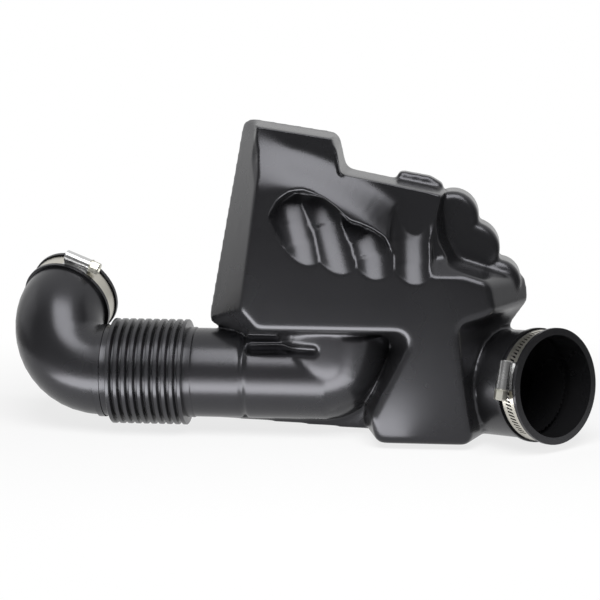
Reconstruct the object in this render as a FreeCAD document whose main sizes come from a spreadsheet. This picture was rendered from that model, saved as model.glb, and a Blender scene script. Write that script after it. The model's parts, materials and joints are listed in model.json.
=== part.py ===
import FreeCAD, Part
import math
import os

# A car engine's air intake hose: one blow-moulded duct and two worm-drive hose clamps.
# Millimetres. X runs along the tube to the right, Y away from the front, Z up.
# The tube's axis is the X axis, and the mould's parting plane is Y = 0.
# At the end everything moves together, so that the origin is at the bottom centre.

doc = FreeCAD.newDocument("air_intake_hose")
V = FreeCAD.Vector

# Driving sizes

sheet = doc.addObject("Spreadsheet::Sheet", "sizes")
SIZES = [
    ("wall", 3.0, "wall of the blow-moulded duct"),
    ("tube_radius", 40.5, "outside of the round tube and of the elbow"),
    ("tube_height", 50.0, "tube axis above the bottom of the box"),
    ("tube_left", -100.0, "where the tube leaves the bellows"),
    ("tube_right", 27.0, "where the tube turns up into the box"),
    ("crest_rise", 7.5, "crest of the bellows above the tube"),
    ("groove_rise", 1.8, "bottom of the bellows' grooves above the tube"),
    ("bellows_pitch", 7.2, "from one crest to the next"),
    ("bellows_count", 10, "number of crests"),
    ("crest_width", 3.4, "flat on top of a crest"),
    ("groove_width", 2.2, "flat at the bottom of a groove"),
    ("bellows_end", 10.0, "plain tube between the bellows and the elbow"),
    ("bend_clear", 3.0, "axis radius of a bend, beyond the tube's own radius"),
    ("bend_one", 75.0, "turn of the first bend, degrees"),
    ("bend_two", 48.0, "turn of the second bend, degrees"),
    ("throttle_step", 0.5, "stop shoulder at the end of the throttle bore"),
    ("throttle_cuff_length", 22.0, "straight length of the throttle cuff"),
    ("cleaner_bore", 89.0, "bore that slips over the air cleaner's spigot"),
    ("cleaner_wall", 3.0, "wall of the air cleaner cuff"),
    ("cleaner_cuff_length", 24.0, "straight length of the air cleaner cuff"),
    ("cleaner_stop", 30.0, "depth of the air cleaner bore, down to its stop shoulder"),
    ("cleaner_step", 2.0, "height of that shoulder"),
    ("neck_length", 98.0, "from the mouth's rim into the box"),
    ("rib_height", 2.6, "ribs that keep a clamp on its cuff"),
    ("rib_width", 3.0, "width of those ribs"),
    ("band_width", 13.0, "clamp band"),
    ("band_thickness", 0.9, "clamp band"),
    ("front_depth", 60.0, "parting plane to the front panel"),
    ("shelf_sink", 19.0, "how far the upper part of the front is sunk"),
    ("back_depth", 48.0, "parting plane to the back panel"),
    ("web_thickness", 5.0, "pinched web between the tube and the box"),
    ("housing_length", 25.0, "clamp housing, along the band"),
    ("housing_width", 14.4, "clamp housing, across the band"),
    ("housing_height", 9.0, "clamp housing above the band"),
    ("screw_radius", 3.6, "worm of the clamp screw"),
    ("screw_head", 11.8, "clamp screw's hexagon across its corners"),
    ("screw_head_length", 9.0, "clamp screw's head"),
    ("seat", 0.05, "clearance between parts that sit against each other"),
]
for row, (name, size, note) in enumerate(SIZES, start=1):
    sheet.set("A%d" % row, name)
    sheet.set("B%d" % row, str(size))
    sheet.set("C%d" % row, note)
    sheet.setAlias("B%d" % row, name)
doc.recompute()


def size(name):
    return float(sheet.get(name))


def bind(item, placement=None, **sizes):
    for prop, formula in sizes.items():
        item.setExpression(prop, formula)
    if placement is not None:
        item.Placement = placement
    return item


def frame(origin, x_axis, z_axis):
    """A placement whose own X and Z point along the two given directions."""
    z = V(z_axis).normalize()
    x = V(x_axis) - z * V(x_axis).dot(z)
    x.normalize()
    y = z.cross(x)
    turn = FreeCAD.Matrix(x.x, y.x, z.x, 0, x.y, y.y, z.y, 0, x.z, y.z, z.z, 0, 0, 0, 0, 1)
    spot = FreeCAD.Placement(turn)
    spot.Base = origin
    return spot


def any_square(axis):
    """A direction square to an axis."""
    other = V(0, 0, 1) if abs(axis.z) < 0.9 else V(1, 0, 0)
    return axis.cross(other)


def cylinder(name, origin, axis, radius, height):
    item = doc.addObject("Part::Cylinder", name)
    return bind(item, frame(origin, any_square(axis), axis), Radius=radius, Height=height)


def bend(name, start, heading, inward, radius, angle):
    """A round bend that starts along heading and turns towards inward."""
    item = doc.addObject("Part::Torus", name)
    centre = start + inward * bend_radius
    axis = (inward * -1).cross(heading)
    spot = frame(centre, inward * -1, axis)
    axis_radius = "sizes.tube_radius + sizes.bend_clear"
    return bind(item, spot, Radius1=axis_radius, Radius2=radius, Angle3=angle)


def feature(name, shape):
    item = doc.addObject("Part::Feature", name)
    item.Shape = shape
    return item


def fuse(name, items):
    item = doc.addObject("Part::MultiFuse", name)
    item.Shapes = items
    item.Refine = False
    return item


def cut(name, base, tool):
    item = doc.addObject("Part::Cut", name)
    item.Base = base
    item.Tool = tool
    item.Refine = False
    return item


def outline(corners, y):
    points = [V(x, y, z) for x, z in corners]
    return Part.makePolygon(points + points[:1])


def loft(near, far):
    return Part.makeLoft([near, far], True, True)


# Axes of the tube, the elbow and the two cuffs

wall = size("wall")
tube_radius = size("tube_radius")
bend_radius = tube_radius + size("bend_clear")
floor = -size("tube_height")
bellows_length = size("bellows_pitch") * size("bellows_count")
elbow_start = V(size("tube_left") - bellows_length - size("bellows_end"), 0, 0)
RIGHT = V(1, 0, 0)
LEFT = V(-1, 0, 0)
FRONT = V(0, -1, 0)


def turned(start, heading, inward, angle):
    """Where a bend ends, and which way it points there."""
    a = math.radians(angle)
    end = start + heading * (bend_radius * math.sin(a)) + inward * (bend_radius * (1 - math.cos(a)))
    along = heading * math.cos(a) + inward * math.sin(a)
    return end, along


lean = math.radians(26.0)
inward_one = V(0, math.sin(lean), math.cos(lean))
elbow_middle, heading_one = turned(elbow_start, LEFT, inward_one, size("bend_one"))
throttle_way = V(0.2247, 0.8654, 0.4479)
inward_two = throttle_way - heading_one * throttle_way.dot(heading_one)
inward_two.normalize()
elbow_end, throttle_axis = turned(elbow_middle, heading_one, inward_two, size("bend_two"))
throttle_rim = elbow_end + throttle_axis * size("throttle_cuff_length")

mouth = V(228.0, -50.0, floor + 54.0)
cleaner_axis = V(0.70, -0.70, 0.10).normalize()
neck_root = mouth - cleaner_axis * size("neck_length")

# Outlines of the resonator box at the parting plane, the front panel and the back panel

PARTING = [
    (-50, 232), (35, 219), (42, 188), (132, 170), (138, 130), (148, 110), (201, 94),
    (204, 72), (190, 52), (173, floor), (57, floor), (60, -22), (84, 36), (-52, 36), (-84, 46),
]
PANEL = [
    (-26, 219), (35, 207), (40, 183), (113, 168), (117, 127), (129, 107), (168, 95),
    (174, 66), (141, 57), (157, floor + 1), (74, floor + 1), (68, -27), (106, 50), (-31, 50), (-45, 68),
]
BACK = [
    (-36, 216), (24, 206), (30, 178), (120, 162), (128, 124), (138, 102), (188, 88),
    (192, 70), (180, 52), (160, floor + 2), (70, floor + 2), (72, -18), (92, 46), (-40, 46), (-62, 54),
]


def inset(corners, distance):
    """The outline moved inwards by a distance, corner by corner."""
    moved = []
    count = len(corners)
    for i in range(count):
        before = V(*corners[i - 1], 0)
        here = V(*corners[i], 0)
        after = V(*corners[(i + 1) % count], 0)
        first = (here - before).normalize()
        second = (after - here).normalize()
        square_first = V(first.y, -first.x, 0)
        square_second = V(second.y, -second.x, 0)
        split = (square_first + square_second).normalize()
        reach = distance / max(split.dot(square_first), 0.35)
        spot = here + split * reach
        moved.append((spot.x, spot.y))
    return moved


front_y = -size("front_depth")
shelf_y = front_y + size("shelf_sink")
back_y = size("back_depth")


def rounded(shape, pick, radius):
    """Round the edges of a shape that pick accepts."""
    edges = [edge for edge in shape.Edges if pick(edge)]
    return shape.makeFillet(radius, edges)


def crosses(edge):
    """Edges that run from the parting plane to a panel."""
    ends = [vertex.Point.y for vertex in edge.Vertexes]
    return len(ends) == 2 and abs(ends[0] - ends[1]) > 20.0


def crosses_tab(edge):
    """Edges that run through the thickness of the tab."""
    return abs(edge.Vertexes[0].Point.y - edge.Vertexes[-1].Point.y) > 10.0


def on_plane(y):
    return lambda edge: all(abs(vertex.Point.y - y) < 1e-3 for vertex in edge.Vertexes)


# Front half of the box, with its sunk shelf and finger scoops

front_block = loft(outline(PARTING, 0), outline(PANEL, front_y))
front_block = rounded(front_block, crosses, 10.0)
front_block = rounded(front_block, on_plane(front_y), 6.0)
dome_foot = 120.0
dome_slope = 1.27
dome_crest = dome_foot - dome_slope * size("shelf_sink")
dome = Part.makeCone(
    dome_foot, dome_crest - dome_slope * 5.0, size("shelf_sink") + 5.0, V(6.0, shelf_y, 87.0), FRONT
)
ramp = [
    V(-90.0, shelf_y, 114.0), V(-90.0, shelf_y - 40.0, 82.0),
    V(-90.0, shelf_y - 40.0, 272.0), V(-90.0, shelf_y, 272.0),
]
shelf = Part.Face(Part.makePolygon(ramp + ramp[:1])).extrude(V(260.0, 0, 0)).cut(dome)
front_shape = front_block.cut(shelf)


def round_about_dome(edge):
    """The edge where the raised panel's slope meets the sunk shelf."""
    curve = edge.Curve
    return curve.TypeId == "Part::GeomCircle" and abs(curve.Radius - dome_foot) < 0.5


front_shape = rounded(front_shape, round_about_dome, 16.0)


def finger(foot_x, foot_z, curl, turn, radius, slope):
    """A cutter like a curled finger: it leaves the panel at its foot, sinks and turns left."""
    tilt = math.radians(slope)
    way = V(0, math.sin(tilt), math.cos(tilt))
    foot = V(foot_x, front_y - radius, foot_z)
    centre = foot - RIGHT * curl
    disc = Part.Face(Part.Wire(Part.makeCircle(radius, foot, way)))
    tool = disc.revolve(centre, RIGHT.cross(way), turn)
    a = math.radians(turn)
    tip = centre + RIGHT * (curl * math.cos(a)) + way * (curl * math.sin(a))
    tail = Part.makeCylinder(radius, 30.0, foot, way * -1)
    return tool.fuse([tail, Part.makeSphere(radius, tip)])


# Each finger: foot across, foot up, radius of its curl, degrees of turn, half width, slope
FINGERS = [
    (-9, 110, 50, 38, 10, 12), (17, 107, 66, 52, 15, 15), (49, 100, 70, 52, 16, 15),
    (75, 95, 60, 48, 16, 15), (106, 90, 104, 62, 17, 8),
]
for numbers in FINGERS:
    front_shape = front_shape.cut(finger(*numbers))

box_front = feature("box_front", front_shape)
mould_step = 0.8
back_shape = loft(outline(inset(PARTING, mould_step), -1.0), outline(BACK, back_y))
back_shape = rounded(back_shape, crosses, 10.0)
back_shape = rounded(back_shape, on_plane(back_y), 8.0)
box_back = feature("box_back", back_shape)

# A raised tab on the top edge, left by the mould's pinch-off

tab_shape = Part.makePolygon([V(x, -9.0, z) for x, z in (
    (84, 168), (88, 186), (116, 181), (128, 174), (124, 160), (84, 168),
)])
tab_shape = Part.Face(tab_shape).extrude(V(0, 18.0, 0))
tab = feature("tab", rounded(tab_shape, crosses_tab, 4.0))

# Rounded knuckles down the right shoulder of the box

KNUCKLES = [(136, 146, 23), (154, 118, 24), (177, 89, 20)]
knuckles = []
for i, (x, z, radius) in enumerate(KNUCKLES, start=1):
    knuckle = Part.makeCylinder(radius, 48.0, V(x, 30.0, z), FRONT)
    knuckle = rounded(knuckle, on_plane(-18.0), 7.0)
    knuckle = knuckle.makeChamfer(5.0, [edge for edge in knuckle.Edges if on_plane(30.0)(edge)])
    knuckles.append(feature("knuckle_%d" % i, knuckle))

# Tube, bellows and elbow

tube = cylinder(
    "tube", V(size("tube_left") - 8.0, 0, 0), RIGHT,
    "sizes.tube_radius", "sizes.tube_right - sizes.tube_left + 8",
)


def bellows_shape(crest, root):
    """The bellows' outline in the XZ plane, from left to right, turned about the tube's axis."""
    pitch = size("bellows_pitch")
    half_crest = size("crest_width") / 2
    half_groove = size("groove_width") / 2
    left = size("tube_left") - bellows_length
    points = [V(left - size("bellows_end") - 0.5, 0, 0), V(left - size("bellows_end") - 0.5, 0, root)]
    for i in range(int(size("bellows_count"))):
        middle = left + pitch * (i + 0.5)
        points.append(V(middle - pitch / 2 + half_groove, 0, root))
        points.append(V(middle - half_crest, 0, crest))
        points.append(V(middle + half_crest, 0, crest))
        points.append(V(middle + pitch / 2 - half_groove, 0, root))
    points.append(V(size("tube_left") + 1.0, 0, root))
    points.append(V(size("tube_left") + 1.0, 0, 0))
    face = Part.Face(Part.makePolygon(points + points[:1]))
    return face.revolve(V(0, 0, 0), RIGHT, 360)


bellows = feature("bellows", bellows_shape(
    tube_radius + size("crest_rise"), tube_radius + size("groove_rise")
))
bend_one = bend(
    "bend_one", elbow_start, LEFT, inward_one, "sizes.tube_radius", "sizes.bend_one"
)
bend_two = bend(
    "bend_two", elbow_middle, heading_one, inward_two, "sizes.tube_radius", "sizes.bend_two"
)

# Throttle cuff with its two ribs

throttle_cuff = cylinder(
    "throttle_cuff", elbow_end, throttle_axis, "sizes.tube_radius", "sizes.throttle_cuff_length"
)
throttle_rib = cylinder(
    "throttle_rib", elbow_end + throttle_axis * 1.0, throttle_axis,
    "sizes.tube_radius + sizes.rib_height", "sizes.rib_width",
)
throttle_lip = cylinder(
    "throttle_lip", throttle_rim - throttle_axis * size("rib_width"), throttle_axis,
    "sizes.tube_radius + sizes.rib_height", "sizes.rib_width",
)

# The tube's turn up into the box, and the pinched web beside it

turn_centre = V(size("tube_right"), 0, 21.0)
turn_x = tube_radius + 8.5
turn_y = tube_radius + 1.5
turn_z = tube_radius + 20.0


def turn_shape(x, y, z, top):
    ball = Part.makeSphere(1.0)
    stretch = FreeCAD.Matrix()
    stretch.scale(x, y, z)
    ball = ball.transformGeometry(stretch)
    ball.translate(turn_centre)
    ring = Part.Ellipse(V(0, 0, 0), x, y).toShape()
    post = Part.Face(Part.Wire(ring)).extrude(V(0, 0, top))
    post.translate(turn_centre)
    return ball.fuse(post)


turn = feature("turn", turn_shape(turn_x, turn_y, turn_z, 50.0))
WEB = [
    (-90, -20), (-90, -tube_radius), (-50, -tube_radius - 2), (57, floor + 1),
    (64, floor + 1), (90, 2), (90, 42), (20, 42),
]
web_y = -size("web_thickness") / 2
web_face = Part.Face(outline(WEB, web_y))
web = feature("web", web_face.extrude(V(0, size("web_thickness"), 0)))

# Neck and air cleaner cuff

cleaner_radius = "sizes.cleaner_bore / 2 + sizes.cleaner_wall"
neck = cylinder("neck", neck_root, cleaner_axis, cleaner_radius, "sizes.neck_length")
cleaner_rib_at = mouth - cleaner_axis * size("cleaner_cuff_length")
cleaner_rib = cylinder(
    "cleaner_rib", cleaner_rib_at, cleaner_axis,
    cleaner_radius + " + sizes.rib_height", "sizes.rib_width",
)
cleaner_lip = cylinder(
    "cleaner_lip", mouth - cleaner_axis * size("rib_width"), cleaner_axis,
    cleaner_radius + " + sizes.rib_height + 0.6", "sizes.rib_width",
)

outside = fuse("outside", [
    box_front, box_back, tab, *knuckles, tube, bellows, bend_one, bend_two, throttle_cuff,
    throttle_rib, throttle_lip, turn, web, neck, cleaner_rib, cleaner_lip,
])

# The air path inside: the same pieces, one wall smaller

box_wall = wall + 1.5
hollow_front = loft(outline(inset(PARTING, box_wall), 0), outline(inset(PANEL, box_wall), front_y + box_wall))
hollow_front = rounded(hollow_front, crosses, 6.0)
sunk = Part.makeBox(260.0, 60.0, 170.0, V(-90.0, shelf_y + box_wall - 60.0, 85.0))
hollow_front = feature("hollow_front", hollow_front.cut(sunk))
hollow_back = loft(
    outline(inset(PARTING, box_wall + mould_step), -1.0), outline(inset(BACK, box_wall), back_y - box_wall)
)
hollow_back = rounded(hollow_back, crosses, 6.0)
hollow_back = feature("hollow_back", hollow_back)
hollow_tube = cylinder(
    "hollow_tube", elbow_start, RIGHT, "sizes.tube_radius - sizes.wall",
    "sizes.tube_right - sizes.tube_left + sizes.bellows_pitch * sizes.bellows_count"
    " + sizes.bellows_end - sizes.wall",
)
hollow_one = bend(
    "hollow_one", elbow_start, LEFT, inward_one,
    "sizes.tube_radius - sizes.wall", "sizes.bend_one",
)
hollow_two = bend(
    "hollow_two", elbow_middle, heading_one, inward_two,
    "sizes.tube_radius - sizes.wall", "sizes.bend_two",
)
throttle_hole = cylinder(
    "throttle_hole", elbow_end, throttle_axis,
    "sizes.tube_radius - sizes.wall + sizes.throttle_step", "sizes.throttle_cuff_length + 1",
)
hollow_turn = feature(
    "hollow_turn", turn_shape(turn_x - wall, turn_y - wall, turn_z - wall, 60.0)
)
cleaner_hole = cylinder(
    "cleaner_hole", mouth - cleaner_axis * size("cleaner_stop"), cleaner_axis,
    "sizes.cleaner_bore / 2", "sizes.cleaner_stop + 1",
)
neck_hole = cylinder(
    "neck_hole", neck_root + cleaner_axis * 2.0, cleaner_axis,
    "sizes.cleaner_bore / 2 - sizes.cleaner_step", "sizes.neck_length - 10",
)
inside = fuse("inside", [
    hollow_front, hollow_back, hollow_tube, hollow_one, hollow_two,
    throttle_hole, hollow_turn, cleaner_hole, neck_hole,
])
intake_duct = cut("intake_duct", outside, inside)


# Hose clamps: a slotted band, a housing and a worm screw

def clamp(prefix, centre, axis, toward, radius):
    """A worm-drive clamp round an axis, with its housing on the side called toward."""
    out = V(toward) - axis * V(toward).dot(axis)
    out.normalize()
    along = axis.cross(out)
    half = size("band_width") / 2
    foot = centre - axis * half
    ring = cylinder(
        prefix + "_ring", foot, axis,
        radius + " + sizes.seat + sizes.band_thickness", "sizes.band_width",
    )
    hole = cylinder(prefix + "_hole", foot, axis, radius + " + sizes.seat", "sizes.band_width")
    band = cut(prefix + "_band", ring, hole)
    doc.recompute()
    band_top = ring.Radius.Value + size("seat")
    housing_length = size("housing_length")
    housing_width = size("housing_width")
    drop = band_top - math.sqrt(band_top ** 2 - (housing_length / 2) ** 2)
    spot = centre - along * (housing_length / 2) - axis * (housing_width / 2)
    block = doc.addObject("Part::Box", prefix + "_block")
    bind(
        block, frame(spot + out * (band_top - drop), axis, along),
        Length="sizes.housing_width", Height="sizes.housing_length",
        Width="sizes.housing_height + %.6f" % drop,
    )
    bed = cylinder(
        prefix + "_bed", centre - axis * housing_width, axis,
        radius + " + 2 * sizes.seat + sizes.band_thickness", "2 * sizes.housing_width",
    )
    worm = centre + out * (band_top + size("housing_height") / 2)
    bore = cylinder(
        prefix + "_bore", worm - along * housing_length, along,
        "sizes.screw_radius + sizes.seat", "2 * sizes.housing_length",
    )
    tools = fuse(prefix + "_housing_tools", [bed, bore])
    housing = cut(prefix + "_housing", block, tools)
    shank = cylinder(
        prefix + "_shank", worm - along * (housing_length / 2), along,
        "sizes.screw_radius", "sizes.housing_length + sizes.seat",
    )
    head = doc.addObject("Part::Prism", prefix + "_head")
    bind(
        head, frame(worm + along * (housing_length / 2 + size("seat")), out, along),
        Circumradius="sizes.screw_head / 2", Height="sizes.screw_head_length",
    )
    head.Polygon = 6
    screw = fuse(prefix + "_screw", [shank, head])
    return [band, housing, screw]


throttle_middle = (elbow_end + throttle_axis * (1.0 + size("rib_width")) + throttle_rim
                   - throttle_axis * size("rib_width")) * 0.5
cleaner_middle = mouth - cleaner_axis * 12.0
throttle_side = V(0.28, -0.66, 0.90)
cleaner_side = V(-0.70, -0.70, 0.30)
parts = [intake_duct]
parts += clamp(
    "throttle_clamp", throttle_middle, throttle_axis, throttle_side, "sizes.tube_radius"
)
parts += clamp(
    "air_cleaner_clamp", cleaner_middle, cleaner_axis, cleaner_side, cleaner_radius
)
doc.recompute()

# The origin goes to the bottom centre of the whole

whole = FreeCAD.BoundBox()
for part in parts:
    whole.add(part.Shape.optimalBoundingBox())
shift = V(-whole.Center.x, -whole.Center.y, -whole.ZMin)
for part in parts:
    part.Label = part.Name
    part.Placement = FreeCAD.Placement(shift, FreeCAD.Rotation())
doc.recompute()

os.makedirs("parts", exist_ok=True)
for part in parts:
    if "Invalid" in part.State or "Error" in part.State:
        raise RuntimeError(part.Name + " did not compute")
    if part.Shape.isNull() or not part.Shape.isValid():
        raise RuntimeError(part.Name + " has no sound shape")
    part.Shape.exportStep("parts/%s.step" % part.Name)
    box = part.Shape.optimalBoundingBox()
    print(
        part.Name, len(part.Shape.Solids), "solid", round(part.Shape.Volume / 1000, 2), "cm3",
        [round(v, 1) for v in (box.XMin, box.XMax, box.YMin, box.YMax, box.ZMin, box.ZMax)],
    )
for name, spot, axis in (
    ("throttle cuff rim", throttle_rim, throttle_axis), ("air cleaner cuff rim", mouth, cleaner_axis),
):
    print(name, [round(v, 2) for v in spot + shift], [round(v, 5) for v in axis])
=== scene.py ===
# %% [markdown]
# # An air intake hose for a car engine
# One blow-moulded plastic duct carries air from the air cleaner to the throttle body.
# It has a round cuff at each end, a short bellows that lets the engine rock, and a resonator
# box that hushes the intake noise. A worm-drive clamp sits on each cuff.
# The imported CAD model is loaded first. It is the frame that every new piece must fit.

# %% Load the frame
import json
import math

import bpy
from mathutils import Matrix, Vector

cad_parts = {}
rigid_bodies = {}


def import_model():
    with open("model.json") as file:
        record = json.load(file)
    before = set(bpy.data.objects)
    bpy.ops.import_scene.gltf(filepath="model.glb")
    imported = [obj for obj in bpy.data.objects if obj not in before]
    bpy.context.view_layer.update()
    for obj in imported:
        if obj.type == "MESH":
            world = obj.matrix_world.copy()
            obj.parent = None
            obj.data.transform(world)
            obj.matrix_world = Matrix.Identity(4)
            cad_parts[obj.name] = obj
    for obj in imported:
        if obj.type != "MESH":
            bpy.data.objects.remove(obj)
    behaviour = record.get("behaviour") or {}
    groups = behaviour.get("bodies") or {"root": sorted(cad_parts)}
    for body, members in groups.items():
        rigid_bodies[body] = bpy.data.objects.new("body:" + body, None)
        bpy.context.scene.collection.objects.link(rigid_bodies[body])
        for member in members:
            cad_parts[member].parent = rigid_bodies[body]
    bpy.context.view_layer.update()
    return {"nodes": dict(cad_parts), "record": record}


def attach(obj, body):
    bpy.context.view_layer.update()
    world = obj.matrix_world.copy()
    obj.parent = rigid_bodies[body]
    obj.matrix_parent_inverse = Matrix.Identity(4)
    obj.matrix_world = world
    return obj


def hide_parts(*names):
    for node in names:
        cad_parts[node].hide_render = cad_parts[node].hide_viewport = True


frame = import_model()
nodes = frame["nodes"]
mounts = {mount["name"]: mount for mount in frame["record"]["mounts"]}

# %% [markdown]
# ## Camera
# The photograph was taken from the front with a long lens, a little above the part and a
# little to its right. The camera is placed first.

# %% Camera
view_azimuth = math.radians(6.0)
view_height = math.radians(9.0)
view_distance = 1.6
view_target = Vector((0.0015, 0.0042, 0.1211))
sensor = 36.0
metres_per_pixel = 0.0009
picture_pixels = 600
bpy.ops.object.camera_add()
camera = bpy.context.object
toward_camera = Vector((
    math.sin(view_azimuth) * math.cos(view_height),
    -math.cos(view_azimuth) * math.cos(view_height),
    math.sin(view_height),
))
camera.location = view_target + toward_camera * view_distance
camera.rotation_euler = (math.pi / 2 - view_height, 0.0, view_azimuth)
camera.data.sensor_width = sensor
camera.data.lens = sensor * view_distance / metres_per_pixel / picture_pixels
bpy.context.scene.camera = camera
print("lens", round(camera.data.lens, 1), "mm")

# %% [markdown]
# ## Sums in a shader
# Materials are built from nodes. This class wraps one output of a node, so that the maths
# of a mask can be written as an ordinary Python expression.

# %% Sums in a shader


class Value:
    def __init__(self, owner, socket):
        self.owner = owner
        self.socket = socket

    def math(self, operation, other):
        return self.owner.node("ShaderNodeMath", {"operation": operation}, (self, other))

    def __add__(self, other):
        return self.math("ADD", other)

    def __mul__(self, other):
        return self.math("MULTIPLY", other)

    def between(self, low, high):
        """0 below low, 1 above high, and a smooth rise between them."""
        settings = {"interpolation_type": "SMOOTHSTEP", "clamp": True}
        inputs = {"Value": self, "From Min": low, "From Max": high, "To Min": 0.0, "To Max": 1.0}
        return self.owner.node("ShaderNodeMapRange", settings, inputs)


print("made the class", Value.__name__)

# %% [markdown]
# ## Node trees
# A material and the world are both trees of nodes, so one class can fill either of them. A
# second class adds what only a material has: a main shader with sockets to feed, and a bump.

# %% Node trees


class Nodes:
    """The node tree of a material or of the world."""

    def __init__(self, tree):
        self.tree = tree

    def node(self, kind, settings=None, inputs=None, output=0):
        made = self.tree.nodes.new(kind)
        for name, value in (settings or {}).items():
            setattr(made, name, value)
        pairs = inputs.items() if isinstance(inputs, dict) else enumerate(inputs or ())
        for key, value in pairs:
            self.plug(value, made.inputs[key])
        return Value(self, made.outputs[output])

    def plug(self, value, socket):
        if isinstance(value, Value):
            self.tree.links.new(value.socket, socket)
        else:
            socket.default_value = value

    def place(self):
        return self.node("ShaderNodeTexCoord", output="Object")

    def noise(self, scale, detail):
        inputs = {"Vector": self.place(), "Scale": scale, "Detail": detail}
        return self.node("ShaderNodeTexNoise", None, inputs)

    def blend(self, mask, first, second):
        """Mix two colours: the node's sockets 6 and 7 take them, and output 2 is the result."""
        made = self.tree.nodes.new("ShaderNodeMix")
        made.data_type = "RGBA"
        self.plug(mask, made.inputs[0])
        self.plug(first, made.inputs[6])
        self.plug(second, made.inputs[7])
        return Value(self, made.outputs[2])

    def shown(self):
        """1 for rays from the camera, and for those that mirrors and glass send on."""
        total = None
        for kind in ("Is Camera Ray", "Is Glossy Ray", "Is Transmission Ray"):
            ray = self.node("ShaderNodeLightPath", output=kind)
            total = ray if total is None else total.math("MAXIMUM", ray)
        return total


class Finish(Nodes):
    """A material under construction."""

    def __init__(self, name, **fixed):
        self.data = bpy.data.materials.new(name)
        self.data.use_nodes = True
        super().__init__(self.data.node_tree)
        self.shader = self.tree.nodes["Principled BSDF"]
        for socket, value in fixed.items():
            self.shader.inputs[socket.replace("_", " ")].default_value = value

    def feed(self, socket, value):
        self.plug(value, self.shader.inputs[socket])

    def bump(self, height, strength, distance):
        inputs = {"Height": height, "Strength": strength, "Distance": distance}
        self.feed("Normal", self.node("ShaderNodeBump", None, inputs))


print("made the classes", Nodes.__name__, "and", Finish.__name__)

# %% [markdown]
# ## Moulded plastic
# Blow-moulded polypropylene comes out of the mould charcoal black with a satin skin: a very
# fine grain, and slow changes of gloss where the melt touched the mould at different heat.
# Two noises make them, a broad one for tone and gloss and a very fine one for the grain.

# %% Moulded plastic
darker_black = (0.006, 0.006, 0.0066, 1)
paler_black = (0.010, 0.010, 0.0108, 1)
glossiest = 0.23
gloss_change = 0.08
plastic = Finish("moulded_plastic", Specular_IOR_Level=0.5, Specular_Tint=(0.93, 0.93, 1.0, 1))
cloud = plastic.noise(scale=14.0, detail=4.0)
grain = plastic.noise(scale=1600.0, detail=2.0)
plastic.feed("Base Color", plastic.blend(cloud, darker_black, paler_black))
plastic.feed("Roughness", cloud * gloss_change + glossiest)
plastic.bump(grain, strength=0.10, distance=0.0004)
print("made", plastic.data.name)

# %% [markdown]
# ## Clamp steel
# The clamps are stainless strip: the band is plain and slightly warm, the housing is pressed
# and brighter, and the screw is plated. A fine noise breaks up their reflections.

# %% Clamp steel
dull_share = 0.78
steel_gloss_change = 0.12


def steel(name, colour, roughness):
    made = Finish(name, Metallic=1.0)
    fine = made.noise(scale=900.0, detail=2.0)
    tone = made.noise(scale=60.0, detail=3.0)
    dull = tuple(c * dull_share for c in colour[:3]) + (1,)
    made.feed("Base Color", made.blend(tone, dull, colour))
    made.feed("Roughness", tone * steel_gloss_change + roughness)
    made.bump(fine, strength=0.12, distance=0.0002)
    print("made", name)
    return made


band_steel = steel("band_steel", (0.60, 0.58, 0.52, 1), 0.30)
housing_steel = steel("housing_steel", (0.62, 0.62, 0.62, 1), 0.20)
screw_steel = steel("screw_steel", (0.58, 0.57, 0.51, 1), 0.34)

# %% [markdown]
# ## Working on one mesh at a time
# Operators act on everything that is selected, so each step starts from nothing selected.

# %% Helpers for edit mode


def only(piece):
    bpy.ops.object.select_all(action="DESELECT")
    piece.select_set(True)
    bpy.context.view_layer.objects.active = piece


def edit(piece, kind="FACE"):
    only(piece)
    bpy.ops.object.mode_set(mode="EDIT")
    bpy.ops.mesh.select_mode(type=kind)
    bpy.ops.mesh.select_all(action="DESELECT")


def done():
    bpy.ops.object.mode_set(mode="OBJECT")


def pick_faces(piece, test):
    """Select, from edit mode, the faces whose middle passes a test."""
    done()
    for face in piece.data.polygons:
        face.select = bool(test(face.center))
    bpy.ops.object.mode_set(mode="EDIT")


print("edit helpers ready")

# %% [markdown]
# ## Starting and finishing a piece
# A piece that follows the CAD model closely starts as a copy of its mesh. The copy's points
# are merged, and the shading stored with it is cleared, because cuts would make it wrong.
# Every finished piece gets its shading, one material, and the CAD nodes that it replaces.

# %% Helpers for pieces
merge_gap = 0.00002


def copy_of(node_name, name):
    """A merged copy of a CAD node's mesh, as a new object at the origin."""
    piece = bpy.data.objects.new(name, nodes[node_name].data.copy())
    bpy.context.scene.collection.objects.link(piece)
    piece.data.materials.clear()
    edit(piece, "VERT")
    bpy.ops.mesh.select_all(action="SELECT")
    bpy.ops.mesh.remove_doubles(threshold=merge_gap)
    done()
    only(piece)
    bpy.ops.mesh.customdata_custom_splitnormals_clear()
    return piece


def shade(piece, sharp_degrees=None):
    """Shade a piece smoothly. Edges that turn by more than sharp_degrees stay crisp."""
    only(piece)
    if sharp_degrees is None:
        bpy.ops.object.shade_smooth()
    else:
        bpy.ops.object.shade_smooth_by_angle(angle=math.radians(sharp_degrees))


def finish_piece(piece, material, slot, *replaced):
    piece.data.materials.clear()
    piece.data.materials.append(material.data)
    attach(piece, "root")
    if replaced:
        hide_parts(*replaced)
    piece.data.calc_loop_triangles()
    print(piece.name, len(piece.data.loop_triangles), "triangles")


print("CAD nodes to copy from:", len(nodes))

# %% [markdown]
# ## Where the cuffs are
# The record gives each cuff's bore by its middle and its axis, which points out of the duct.
# Half a bore further out is the rim, from which all lengths along a cuff are measured.

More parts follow.
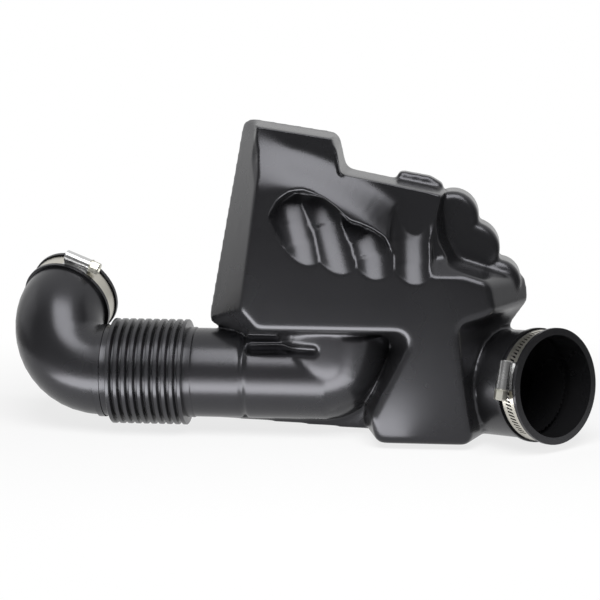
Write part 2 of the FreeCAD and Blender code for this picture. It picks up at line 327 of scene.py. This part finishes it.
# %% Where the cuffs are
throttle_half_bore = 0.011
cleaner_half_bore = 0.015
cleaner = mounts["air_cleaner_cuff"]
cleaner_axis = Vector(cleaner["axis"])
cleaner_rim = Vector(cleaner["pos_m"]) + cleaner_axis * cleaner_half_bore
throttle = mounts["throttle_cuff"]
throttle_axis = Vector(throttle["axis"])
throttle_rim = Vector(throttle["pos_m"]) + throttle_axis * throttle_half_bore


def along_and_off(point, rim, axis):
    """How far a point is inside the rim, along the axis, and how far from the axis."""
    step = Vector(point) - rim
    along = -step.dot(axis)
    return along, (step + axis * along).length


print("rims at", tuple(cleaner_rim), "and", tuple(throttle_rim))

# %% [markdown]
# ## Resonator box
# The box, the tube below it and the neck were blown in one mould, so every edge is soft.
# The CAD solid has the walls, the scoops and the web. Its outer skin is copied, cut free of
# the bellows and the mouth's cuff, and closed. The inner wall isn't joined to the skin once
# both ends are cut, so all that isn't linked to the highest point is deleted.

# %% Outer skin of the box
tube_cut = -0.0969
neck_cut = 0.0330
cuff_length = 0.085
cuff_radius = 0.058


def near_cuff(point):
    along, off = along_and_off(point, cleaner_rim, cleaner_axis)
    return along < cuff_length and off < cuff_radius


def cut_ends(piece, trim=0.0):
    """Cut off the bellows' side and the mouth's side, a trim further in, from edit mode."""
    bpy.ops.mesh.select_all(action="SELECT")
    bpy.ops.mesh.bisect(plane_co=(tube_cut + trim, 0, 0), plane_no=(1, 0, 0), clear_inner=True)
    pick_faces(piece, near_cuff)
    neck_plane = cleaner_rim - cleaner_axis * (neck_cut + trim)
    bpy.ops.mesh.bisect(plane_co=neck_plane, plane_no=cleaner_axis, clear_outer=True)


box_shell = copy_of("intake_duct", "resonator_box")
edit(box_shell)
cut_ends(box_shell)
bpy.ops.mesh.select_mode(type="VERT")
bpy.ops.mesh.select_all(action="DESELECT")
done()
highest = max(box_shell.data.vertices, key=lambda v: v.co.z)
highest.select = True
bpy.ops.object.mode_set(mode="EDIT")
bpy.ops.mesh.select_linked()
bpy.ops.mesh.select_all(action="INVERT")
bpy.ops.mesh.delete(type="VERT")
bpy.ops.mesh.select_all(action="SELECT")
bpy.ops.mesh.fill_holes(sides=0)
bpy.ops.mesh.quads_convert_to_tris()
done()
print("outer skin", len(box_shell.data.polygons), "faces")

# %% [markdown]
# ## Soft edges
# A bevel on each edge would fail where so many walls meet. Instead the skin is rebuilt as an
# even grid of small faces and smoothed a few times, which melts every hard edge alike.

# %% Soft edges
grid_size = 0.0018
melt_rounds = 9


def melt(piece, rounds):
    """Smooth a mesh a number of times."""
    only(piece)
    smooth = piece.modifiers.new("melt", "SMOOTH")
    smooth.factor = 0.5
    smooth.iterations = rounds
    bpy.ops.object.modifier_apply(modifier=smooth.name)


only(box_shell)
remesh = box_shell.modifiers.new("even grid", "REMESH")
remesh.mode = "VOXEL"
remesh.voxel_size = grid_size
bpy.ops.object.modifier_apply(modifier=remesh.name)
melt(box_shell, melt_rounds)
print("even grid", len(box_shell.data.vertices), "points")

# %% [markdown]
# ## Lines drawn on the front panel
# Three finger-wide scoops run down the front panel, a fourth opens into the sunk shelf at the
# top, and a long ramp sweeps past them from that shelf. Their floors are hollow and their ends
# are crisp, so they are drawn as a map of depths over the panel. It needs the lines that they
# follow, and a way to measure from a line. From here until the box is trimmed, all lengths
# are millimetres on the panel, across and up.

# %% Lines drawn on the front panel
per_metre = 1000.0
mm = 0.001


def rounded(line):
    """The same line with its corners cut at a quarter and three quarters of every stretch."""
    cut = [line[0]]
    for a, b in zip(line, line[1:]):
        cut += [tuple(Vector(a).lerp(Vector(b), share)) for share in (0.25, 0.75)]
    return cut + [line[-1]]


scoop_area = [
    (-28, 128), (-29, 190), (-30, 215), (-36, 282.5), (35.5, 271.5), (42, 241), (132, 223),
    (122, 181), (124, 150), (120, 128),
]
ramp_line = rounded(rounded([
    (-40, 252), (-13, 248), (18, 240), (50, 225), (76, 209), (95, 187), (104, 166), (107, 146),
]))
rim_line = [
    (-19, 203), (-11, 216), (-1, 223), (10, 224), (27, 219), (38, 211), (50, 199), (60, 196),
    (70, 192), (80, 186), (88, 172), (90, 150),
]
finger_radius = 26.0
finger_lines = [
    [(19, 161), (14, 182), (8, 200), (1, 224)],
    [(49, 154), (43, 172), (34, 198), (22, 220)],
    [(76, 149), (73, 171), (67, 188), (58, 204)],
]
last_radius = 24.0
last_line = [(109, 145), (107, 164), (106, 184), (106, 205)]
print("scoops drawn", len(finger_lines) + 1)

# %% [markdown]
# ## Measuring from a line
# A spot's place beside a line is two numbers, as on a road: how far along, and how far to the
# left. A smooth step from 0 to 1 then turns either of them into a soft edge.

# %% Measuring from a line


def ease(value, low, high):
    """0 at low, 1 at high, and a smooth rise between them."""
    share = min(max((value - low) / (high - low), 0.0), 1.0)
    return share * share * (3.0 - 2.0 * share)


def beside(point, line, open_start=True, open_end=False):
    """How far along a line of points a spot lies, and how far off it, with left as positive."""
    best = (math.inf, 0.0, 0.0)
    start = 0.0
    for i, (a, b) in enumerate(zip(line, line[1:])):
        step = Vector(b) - Vector(a)
        gone = point - Vector(a)
        share = gone.dot(step) / step.length_squared
        if i > 0 or not open_start:
            share = max(share, 0.0)
        if i < len(line) - 2 or not open_end:
            share = min(share, 1.0)
        off = gone - step * share
        if off.length < best[0]:
            turn = step.x * off.y - step.y * off.x
            best = (off.length, start + share * step.length, math.copysign(off.length, turn))
        start += step.length
    return best[1], best[2]


def inside_area(point, corners):
    """Distance inside a closed outline, negative outside."""
    ring = corners + corners[:1]
    off = abs(beside(point, ring, open_start=False)[1])
    crossings = 0
    for a, b in zip(ring, ring[1:]):
        if (a[1] > point.y) != (b[1] > point.y):
            crossings += point.x < a[0] + (b[0] - a[0]) * (point.y - a[1]) / (b[1] - a[1])
    return off if crossings % 2 else -off


def in_window(spot, across, up):
    """Whether a point lies in a rectangle of the panel. It saves time on all the others."""
    return across[0] < spot.x < across[1] and up[0] < spot.z < up[1]


print("ramp's low end lies", round(beside(Vector(ramp_line[-1]), ramp_line)[0]), "mm along")

# %% [markdown]
# ## Depth of the panel
# A scoop is a round trough whose floor sinks quickly at first and then less and less. The ramp
# is a soft step down to the shelf: it is wider at the left and fades out at its low right end.
# Where forms meet, the deeper one wins, as when one cutter after another sinks into clay.

# %% Depth of the panel
shelf_depth = 19.0
ramp_start = -21.0
ramp_end = 19.0
left_spread = 14.0
left_stretch = (-38.0, 2.0)
right_stretch = (60.0, 90.0)
fading_heights = (158.0, 200.0)
rim_edge = (-1.5, 2.0)
scoop_deepest = 60.0
scoop_reach = 110.0
bank_slope = 3.0


def rim_height(across):
    """Height of the scoops' upper rim at a place across the panel."""
    for a, b in zip(rim_line, rim_line[1:]):
        if a[0] <= across <= b[0]:
            return a[1] + (b[1] - a[1]) * (across - a[0]) / (b[0] - a[0])
    return rim_line[0][1] if across < rim_line[0][0] else rim_line[-1][1]


def scoop_depth(point, line, radius):
    along, off = beside(point, line)
    drop = radius - math.sqrt(max(radius ** 2 - off ** 2, 0.0))
    floor_depth = scoop_deepest * (1.0 - math.exp(-along / scoop_reach))
    return floor_depth - drop - bank_slope * max(abs(off) - radius, 0.0)


def panel_depth(point):
    past_ramp = beside(point, ramp_line, open_end=True)[1]
    fade = ease(point.x, *right_stretch) * (1.0 - ease(point.y, *fading_heights))
    spread = left_spread * (1.0 - ease(point.x, *left_stretch))
    depth = shelf_depth * ease(past_ramp, ramp_start - spread, ramp_end + spread) * (1.0 - fade)
    depth = max(depth, min(scoop_depth(point, last_line, last_radius), shelf_depth))
    below_rim = ease(rim_height(point.x) - point.y, *rim_edge)
    for line in finger_lines:
        depth = max(depth, scoop_depth(point, line, finger_radius) * below_rim)
    return depth


print("depth on the shelf", round(panel_depth(Vector((20.0, 262.0))), 1), "mm")

# %% [markdown]
# ## Scoops in the front panel
# The grid's points are pushed back to the map of depths, as in sculpting. Near the border of
# the area the push fades out, so that the panel round it stays flat.

# %% Scoops in the front panel
panel_front = -55.8
area_back = -2.0
area_across = (-40.0, 132.0)
area_up = (124.0, 282.0)
area_border = 3.5
moved = 0
for vertex in box_shell.data.vertices:
    spot = vertex.co * per_metre
    if spot.y <= area_back and in_window(spot, area_across, area_up):
        flat = Vector((spot.x, spot.z))
        weight = ease(inside_area(flat, scoop_area), 0.0, area_border)
        if weight > 0.0:
            target = panel_front + panel_depth(flat)
            vertex.co.y += (target - spot.y) * weight * mm
            moved += 1
print("points pushed to the scoops", moved)

# %% [markdown]
# ## Bend of the tube
# Below the box the tube turns up into it. The front of that bend is round, so points behind
# a round pipe along the bend are pulled forward on to it.

# %% Bend of the tube
bend_line = rounded(rounded([(-60, 53.1), (2, 53.1), (30, 56), (43, 71), (46, 110)]))
bend_radius = 40.3
bend_middle = 4.18
front_half = 4.0
bend_across = (-47.0, 88.0)
bend_up = (12.0, 94.0)
on_bend = 0
for vertex in box_shell.data.vertices:
    spot = vertex.co * per_metre
    if spot.y < front_half and in_window(spot, bend_across, bend_up):
        off = abs(beside(Vector((spot.x, spot.z)), bend_line, open_end=True)[1])
        if off < bend_radius:
            front = bend_middle - math.sqrt(bend_radius ** 2 - off ** 2)
            vertex.co.y = min(spot.y, front) * mm
            on_bend += 1
print("points on the bend", on_bend)

# %% [markdown]
# ## Slot and groove
# A long slot lies under the box's bottom edge, and a shallow ring groove goes round the front
# of the tube. Both are pressed in by a few millimetres, the groove towards the tube's axis.
# A last light smoothing evens out the points that have been moved.

# %% Slot and groove
slot_line = [(-40, 81), (17, 82)]
slot_depth = 6.0
slot_edge = (2.0, 5.0)
slot_across = (-50.0, 27.0)
slot_up = (70.0, 93.0)
groove_place = -47.0
groove_depth = 2.6
groove_edge = (0.5, 3.0)
groove_across = (-51.0, -43.0)
groove_up = (14.0, 96.0)
relax_rounds = 2
tube_middle = Vector((0.0, 0.00418, 0.05311))
pressed = 0
for vertex in box_shell.data.vertices:
    spot = vertex.co * per_metre
    if spot.y < 0.0 and in_window(spot, slot_across, slot_up):
        off = abs(beside(Vector((spot.x, spot.z)), slot_line, open_start=False)[1])
        vertex.co.y += slot_depth * (1.0 - ease(off, *slot_edge)) * mm
        pressed += 1
    if spot.y < front_half and in_window(spot, groove_across, groove_up):
        inwards = tube_middle - vertex.co
        inwards.x = 0.0
        share = 1.0 - ease(abs(spot.x - groove_place), *groove_edge)
        vertex.co += inwards.normalized() * groove_depth * share * mm
        pressed += 1
melt(box_shell, relax_rounds)
print("points near the slot and the groove", pressed)

# %% [markdown]
# ## Trim the box to its neighbours
# The rebuilt grid is cut where the bellows and the mouth's cuff begin. The cut goes a little
# further in than the first one, because the closed ends have been rounded by the smoothing.

# %% Trim the box to its neighbours
end_trim = 0.004
edit(box_shell)
cut_ends(box_shell, end_trim)
done()
shade(box_shell)
finish_piece(box_shell, plastic, "moulded_plastic", "intake_duct")

# %% [markdown]
# ## Elbow
# The elbow and its cuff have crisp ribs that a rebuilt grid would blur, so that stretch is cut
# from a plain copy of the CAD mesh.

# %% Elbow
elbow_cut = -0.1755
cuff_sharp = 32
elbow = copy_of("intake_duct", "elbow")
edit(elbow)
bpy.ops.mesh.select_all(action="SELECT")
bpy.ops.mesh.bisect(plane_co=(elbow_cut, 0, 0), plane_no=(1, 0, 0), clear_outer=True)
done()
shade(elbow, cuff_sharp)
finish_piece(elbow, plastic, "moulded_plastic")

# %% [markdown]
# ## Mouth of the neck
# The mouth's lip, rib and bore come from the CAD mesh too. Two cuts across the neck's axis
# come first, so that the faces to delete end on a clean line.

# %% Mouth of the neck
sleeve_start = 0.0250
bore_end = 0.07
between_walls = 0.0435
mouth_cuff = copy_of("intake_duct", "mouth_cuff")
edit(mouth_cuff)
for cut_depth in (sleeve_start, bore_end):
    bpy.ops.mesh.select_all(action="SELECT")
    bpy.ops.mesh.bisect(plane_co=cleaner_rim - cleaner_axis * cut_depth, plane_no=cleaner_axis)


def not_cuff(point):
    along, off = along_and_off(point, cleaner_rim, cleaner_axis)
    outer_wall = off > between_walls and along > sleeve_start
    return outer_wall or along > bore_end or off > cuff_radius


pick_faces(mouth_cuff, not_cuff)
bpy.ops.mesh.delete(type="FACE")
done()
shade(mouth_cuff, cuff_sharp)
finish_piece(mouth_cuff, plastic, "moulded_plastic")

# %% [markdown]
# ## A lathe
# Round pieces are turned: one outline is drawn point by point beside an axis and spun all the
# way round it. A slant leans the outline over, which makes faces that lie askew.

# %% A lathe
weld_gap = 0.00001


def lathe(name, outline, origin, axis, steps=128, side=None, slant=0.0):
    """Draw (along, radius) points beside an axis, then spin them into a surface."""
    axis = Vector(axis).normalized()
    side = (side or axis.orthogonal()).normalized()
    across = axis.cross(side)
    spots = []
    for along, radius in outline:
        turn = slant * along / radius if slant else 0.0
        outwards = side * math.cos(turn) + across * math.sin(turn)
        spots.append(Vector(origin) + axis * along + outwards * radius)
    bpy.ops.object.select_all(action="DESELECT")
    bpy.ops.mesh.primitive_plane_add(size=0.001, location=(0, 0, 0))
    piece = bpy.context.object
    piece.name = name
    bpy.ops.object.mode_set(mode="EDIT")
    bpy.ops.mesh.select_mode(type="VERT")
    bpy.ops.mesh.select_all(action="SELECT")
    bpy.ops.mesh.merge(type="CENTER")
    bpy.ops.transform.translate(value=spots[0])
    for before, after in zip(spots, spots[1:]):
        bpy.ops.mesh.extrude_region_move(TRANSFORM_OT_translate={"value": after - before})
    bpy.ops.mesh.select_all(action="SELECT")
    bpy.ops.mesh.spin(steps=steps, angle=2 * math.pi, center=origin, axis=axis)
    bpy.ops.mesh.select_all(action="SELECT")
    bpy.ops.mesh.remove_doubles(threshold=weld_gap)
    bpy.ops.mesh.normals_make_consistent(inside=False)
    done()
    return piece


print("made the function", lathe.__name__)

# %% [markdown]
# ## Bellows
# Ten square-shouldered folds let the engine rock. They are turned on the tube's axis, with a
# short plain collar at each end that meets the elbow or the tube.

# %% Bellows
bellows_left = -0.17053
bellows_sharp = 35
folds = 10
pitch = 0.0072
crest = 0.0480
root = 0.0410
left_collar = [(-0.0052, 0.0405), (-0.0046, 0.0415), (-0.0010, root)]
right_collar = [(0.0730, root), (0.0768, 0.0412), (0.0778, 0.0405)]
shoulder = [(0.0023, root), (0.0021, root + 0.0006), (0.0018, crest - 0.0006), (0.0013, crest)]
bellows_outline = list(left_collar)
for fold in range(folds):
    middle = pitch * (fold + 0.5)
    bellows_outline += [(middle - half, radius) for half, radius in shoulder]
    bellows_outline += [(middle + half, radius) for half, radius in reversed(shoulder)]
bellows_outline += right_collar
bellows_origin = tube_middle + Vector((bellows_left, 0, 0))
bellows = lathe("bellows", bellows_outline, bellows_origin, (1, 0, 0))
shade(bellows, bellows_sharp)
finish_piece(bellows, plastic, "moulded_plastic")

# %% [markdown]
# ## Neck sleeve
# Between the box and the mouth's rib the neck is a plain round wall, so it is turned as well.
# It reaches a little way into both neighbours, which hides the seams.

# %% Neck sleeve
neck_radius = 0.0475
sleeve_outline = [
    (-sleeve_start + 0.0004, neck_radius),
    (-0.030, neck_radius),
    (-neck_cut - 0.0055, neck_radius),
]
sleeve = lathe("neck_sleeve", sleeve_outline, cleaner_rim, cleaner_axis)
shade(sleeve)
finish_piece(sleeve, plastic, "moulded_plastic")

# %% [markdown]
# ## Sheet metal
# A worm-drive clamp is a steel strip with a row of slanted slots, a pressed housing that rides
# on the strip, and a screw whose worm bites the slots. Sheet is drawn as a bare surface and
# thickened later, part of a turned ring gives a bent plate, and joined plates are one piece.

# %% Sheet metal
strip = 0.0009
seat = 0.00005
worm_height = 0.0045
clamp_sharp = 30


def thicken(piece, thickness):
    only(piece)
    wall = piece.modifiers.new("wall", "SOLIDIFY")
    wall.thickness = thickness
    wall.offset = 0.0
    bpy.ops.object.modifier_apply(modifier=wall.name)


def keep_arc(piece, centre, out, across, half_angle):
    """Delete the faces of a ring that lie outside an arc about the side called out."""
    edit(piece)

    def outside(point):
        step = point - centre
        return abs(math.atan2(step.dot(across), step.dot(out))) > half_angle

    pick_faces(piece, outside)
    bpy.ops.mesh.delete(type="FACE")
    done()


def join(piece, onto):
    bpy.ops.object.select_all(action="DESELECT")
    piece.select_set(True)
    onto.select_set(True)
    bpy.context.view_layer.objects.active = onto
    bpy.ops.object.join()


print("strip", strip * per_metre, "mm thick")

# %% [markdown]
# ## Clamp band
# The band is turned round the cuff as three rows of faces. Every second face of its middle row
# is deleted on both sides of the housing, which leaves the slots, and the slant tilts them.

# %% Clamp band
band_half_width = 0.0065
slot_half_width = 0.0030
slot_slant = 0.30
slots_begin = 0.20
band_steps = 176


def make_band(prefix, centre, axis, out, radius, slotted_arc):
    across = axis.cross(out)
    middle = radius + seat + strip / 2
    step_angle = 2 * math.pi / band_steps
    rows = (-band_half_width, -slot_half_width, slot_half_width, band_half_width)
    edges = [(row, middle) for row in rows]
    band = lathe(prefix + "_strip", edges, centre, axis, band_steps, out, slot_slant)
    edit(band)

    def slot(point):
        step = point - centre
        angle = abs(math.atan2(step.dot(across), step.dot(out)))
        middle_row = abs(step.dot(axis)) < slot_half_width / 2
        slotted = slots_begin < angle < slotted_arc
        return middle_row and slotted and int(angle / step_angle) % 2 == 0

    pick_faces(band, slot)
    bpy.ops.mesh.delete(type="FACE")
    done()
    thicken(band, strip)
    shade(band, clamp_sharp)
    finish_piece(band, band_steel, "band_steel", prefix + "_band")


print("band", 2 * band_half_width * per_metre, "mm wide")

# %% [markdown]
# ## Clamp housing
# The housing is a barrel round the screw, a saddle that lies on the band, and two flanks
# between them. The barrel is turned on the screw's axis, and the plates on the cuff's.

# %% Clamp housing
barrel = [
    (-0.0125, 0.0052), (-0.0121, 0.0056), (0.0121, 0.0056), (0.0125, 0.0052), (0.0125, 0.0042),
    (-0.0125, 0.0042), (-0.0125, 0.0052),
]
barrel_steps = 48
saddle_half_width = 0.0070
saddle_half_length = 0.0122
flank_place = 0.0050
flank_half_length = 0.0105
plate_steps = 360


def make_housing(prefix, centre, axis, out, radius, top):
    across = axis.cross(out)
    worm = centre + out * (top + worm_height)
    housing = lathe(prefix + "_pressing", barrel, worm, across, barrel_steps)
    saddle_radius = top + strip / 2
    saddle = [(-saddle_half_width, saddle_radius), (saddle_half_width, saddle_radius)]
    plates = [(saddle, saddle_half_length)]
    for place in (-flank_place, flank_place):
        flank = [(place, saddle_radius), (place, top + worm_height)]
        plates.append((flank, flank_half_length))
    for outline, half_length in plates:
        plate = lathe("plate", outline, centre, axis, plate_steps, out)
        keep_arc(plate, centre, out, across, half_length / radius)
        thicken(plate, strip)
        join(plate, housing)
    shade(housing, clamp_sharp)
    finish_piece(housing, housing_steel, "housing_steel", prefix + "_housing")


print("housing's saddle", 2 * saddle_half_length * per_metre, "mm long")

# %% [markdown]
# ## Clamp screw
# The worm's turns are drawn as rings, which look the same as a fine thread at this size. The
# hexagon head is turned too, in only six steps.

# %% Clamp screw
thread_start = -0.0124
thread_pitch = 0.0025
thread_turns = 10
thread_root = 0.0029
thread_crest = 0.0036
collar = [(0.0126, thread_root), (0.0126, 0.0062), (0.0136, 0.0062), (0.0136, 0.0)]
hexagon = [
    (0.0134, 0.0), (0.0134, 0.0058), (0.0208, 0.0058), (0.0215, 0.0050), (0.0215, 0.0034),
    (0.0200, 0.0030), (0.0200, 0.0),
]
screw_steps = 40


def make_screw(prefix, worm, across, out):
    thread = [(thread_start, 0.0)]
    for turn in range(thread_turns):
        start = thread_start + thread_pitch * turn
        thread += [(start, thread_root), (start + 0.0008, thread_crest)]
        thread += [(start + 0.0014, thread_crest), (start + 0.0021, thread_root)]
    screw = lathe(prefix + "_worm", thread + collar, worm, across, screw_steps)
    head = lathe("head", hexagon, worm, across, 6, out)
    join(head, screw)
    shade(screw, clamp_sharp)
    finish_piece(screw, screw_steel, "screw_steel", prefix + "_screw")


print("worm's turns", thread_turns)

# %% [markdown]
# ## Both clamps
# Each clamp is placed by the middle of its band on the cuff's axis and by the side of the cuff
# where its housing sits. The slots of the left one are hidden under its housing.

# %% Both clamps


def clamp(prefix, centre, axis, toward, radius, slotted_arc):
    out = (toward - axis * toward.dot(axis)).normalized()
    top = radius + 2 * seat + strip
    worm = centre + out * (top + worm_height)
    make_band(prefix, centre, axis, out, radius, slotted_arc)
    make_housing(prefix, centre, axis, out, radius, top)
    make_screw(prefix, worm, axis.cross(out), out)


clamp(
    "throttle_clamp", throttle_rim - throttle_axis * 0.0105, throttle_axis,
    toward=Vector((0.28, -0.66, 0.90)), radius=0.0405, slotted_arc=0.3,
)
clamp(
    "air_cleaner_clamp", cleaner_rim - cleaner_axis * 0.012, cleaner_axis,
    toward=Vector((-0.70, -0.70, 0.30)), radius=neck_radius, slotted_arc=1.2,
)

# %% [markdown]
# ## Floor
# A sheet of plain white paper, as in a catalogue picture. Where the camera or a reflection sees
# it, it is mostly an even white that becomes pure white far out, and it keeps a soft shadow
# near the part. As a source of light it is ordinary paper.

# %% Floor
bpy.ops.object.select_all(action="DESELECT")
bpy.ops.mesh.primitive_plane_add(size=1.2, location=(0, 0.05, -0.0005))
floor = bpy.context.object
floor.name = "floor"
paper = Finish("white_paper", Base_Color=(0.86, 0.86, 0.86, 1), Roughness=0.9)
floor.data.materials.append(paper.data)

fade_begins = 0.25
fade_ends = 0.56
white_near = 0.78
white_gain = 0.22
white = paper.node("ShaderNodeEmission", None, {"Color": (1, 1, 1, 1), "Strength": 1.0})
reach = paper.node("ShaderNodeVectorMath", {"operation": "LENGTH"}, {0: paper.place()}, "Value")
share = paper.shown() * (reach.between(fade_begins, fade_ends) * white_gain + white_near)
mixed = paper.node("ShaderNodeMixShader", None, {0: share})
paper.tree.links.new(paper.shader.outputs[0], mixed.socket.node.inputs[1])
paper.tree.links.new(white.socket, mixed.socket.node.inputs[2])
paper.tree.links.new(mixed.socket, paper.tree.nodes["Material Output"].inputs["Surface"])
print("made", floor.name)

# %% [markdown]
# ## Studio round the part
# The world is white to the camera. Reflections see it bright behind and above the part and dim
# in front, so that black plastic stays black towards the viewer. As a light it is faint.

# %% Studio round the part
mirror_dimmest = 0.08
mirror_gain = 0.9
faint_light = 0.16
studio = bpy.data.worlds.new("white_studio")
bpy.context.scene.world = studio
studio.use_nodes = True
sky = Nodes(studio.node_tree)
background = sky.tree.nodes["Background"]
background.inputs["Color"].default_value = (1, 1, 1, 1)
way = sky.node("ShaderNodeTexCoord", output="Generated")
depth = sky.node("ShaderNodeSeparateXYZ", None, {0: way}, "Y")
height = sky.node("ShaderNodeSeparateXYZ", None, {0: way}, "Z")
camera_ray = sky.node("ShaderNodeLightPath", output="Is Camera Ray")
mirror = (depth + height).between(-0.1, 1.1) * mirror_gain + mirror_dimmest
level = sky.shown() * mirror.math("MAXIMUM", camera_ray)
sky.plug(level.math("MAXIMUM", faint_light), background.inputs["Strength"])
print("made", studio.name)

# %% [markdown]
# ## Lamps
# A large soft lamp hangs above and in front. A low one lies on the table before the tube and
# shines up, as a reflector does, which gives the tubes their highlight near the bottom. It lies
# in the picture, so it is hidden from the camera. A weak one lights the left wall.

# %% Lamps


def lamp(name, place, aim, width, height, power):
    bpy.ops.object.light_add(type="AREA", location=place)
    made = bpy.context.object
    made.name = name
    made.data.shape = "RECTANGLE"
    made.data.size = width
    made.data.size_y = height
    made.data.energy = power
    made.rotation_euler = (Vector(aim) - Vector(place)).to_track_quat("-Z", "Y").to_euler()
    print("lamp", name, power, "W")
    return made


lamp("overhead", (0.14, -0.72, 1.08), (0.05, 0, 0.12), 1.0, 0.85, 18.5)
low = lamp("reflector on the table", (-0.11, -0.15, 0.004), (-0.11, -0.15, 1.0), 0.42, 0.14, 1.6)
low.visible_camera = False
lamp("left", (-1.4, 0.1, 0.6), (0, 0, 0.1), 0.9, 0.9, 1.2)
bpy.context.scene.view_settings.view_transform = "Standard"
